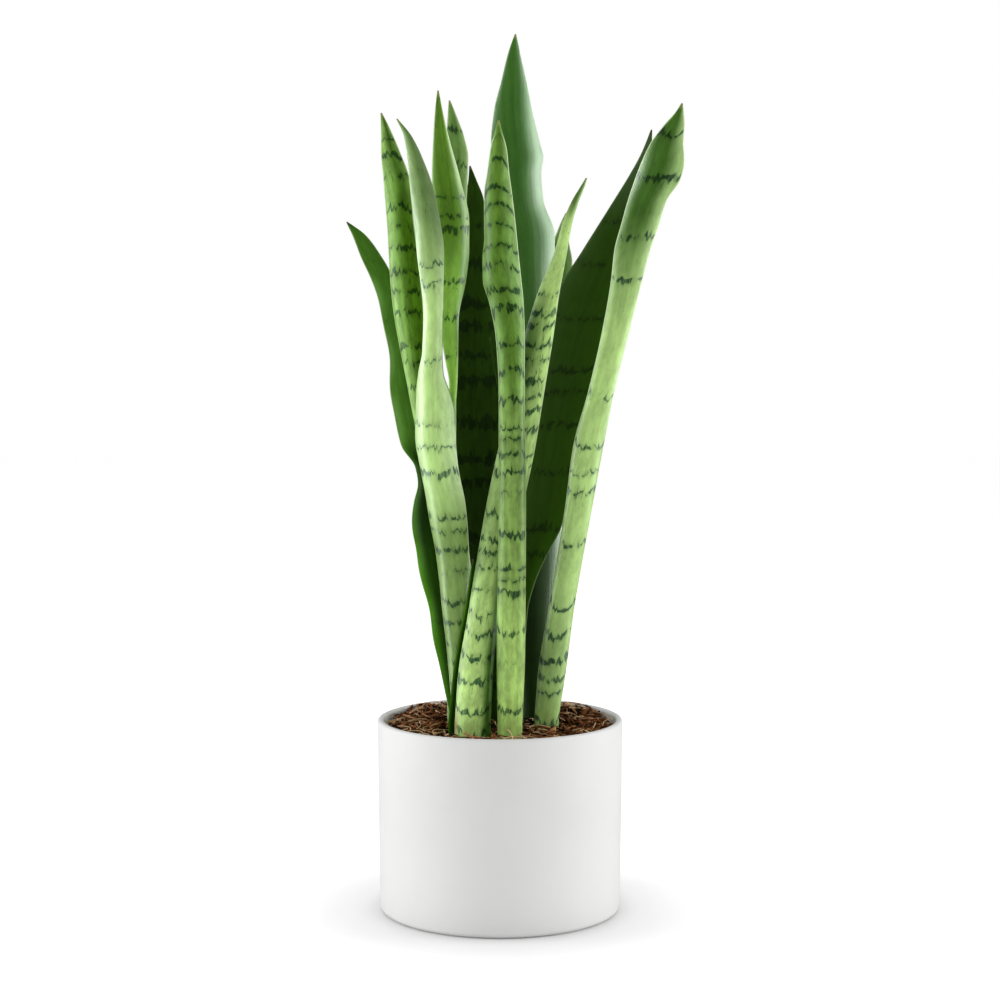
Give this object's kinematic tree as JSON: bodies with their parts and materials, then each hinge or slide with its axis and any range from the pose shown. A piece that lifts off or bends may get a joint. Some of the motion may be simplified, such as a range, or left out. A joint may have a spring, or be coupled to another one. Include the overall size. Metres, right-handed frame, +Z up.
{
  "type": "potted snake plant",
  "caption": "Snake plant with tall pointed sword-shaped leaves, cross-banded green, growing from bark mulch in a plain round white ceramic pot that stands flat",
  "frame": {"origin": "Centre of the pot's flat underside, where the pot stands", "axes": "+Z up along the pot's axis and the leaves, -Y the side that faces the viewer in the picture, +X to the viewer's right"},
  "size_m": [0.2408, 0.178, 0.641],
  "materials": {
    "pot_ceramic": "matte",
    "soil": "matte",
    "mulch": "matte",
    "leaf_pale": "satin",
    "leaf_mid": "satin",
    "leaf_dark": "satin"
  },
  "bodies": {
    "root": {"pot": "pot_ceramic", "soil": "soil", "mulch": "mulch", "leaf_front_centre": "leaf_pale", "leaf_front_leaning": "leaf_pale", "leaf_front_slim": "leaf_dark", "leaf_left_twisted": "leaf_pale", "leaf_left_upright": "leaf_mid", "leaf_left_wavy": "leaf_dark", "leaf_middle_left": "leaf_mid", "leaf_middle_left_rear": "leaf_mid", "leaf_centre_dark": "leaf_dark", "leaf_centre_young": "leaf_dark", "leaf_right_broad": "leaf_dark", "leaf_right_tall": "leaf_pale", "leaf_rear_tallest": "leaf_mid", "leaf_rear_short": "leaf_mid"}
  },
  "joints": []
}
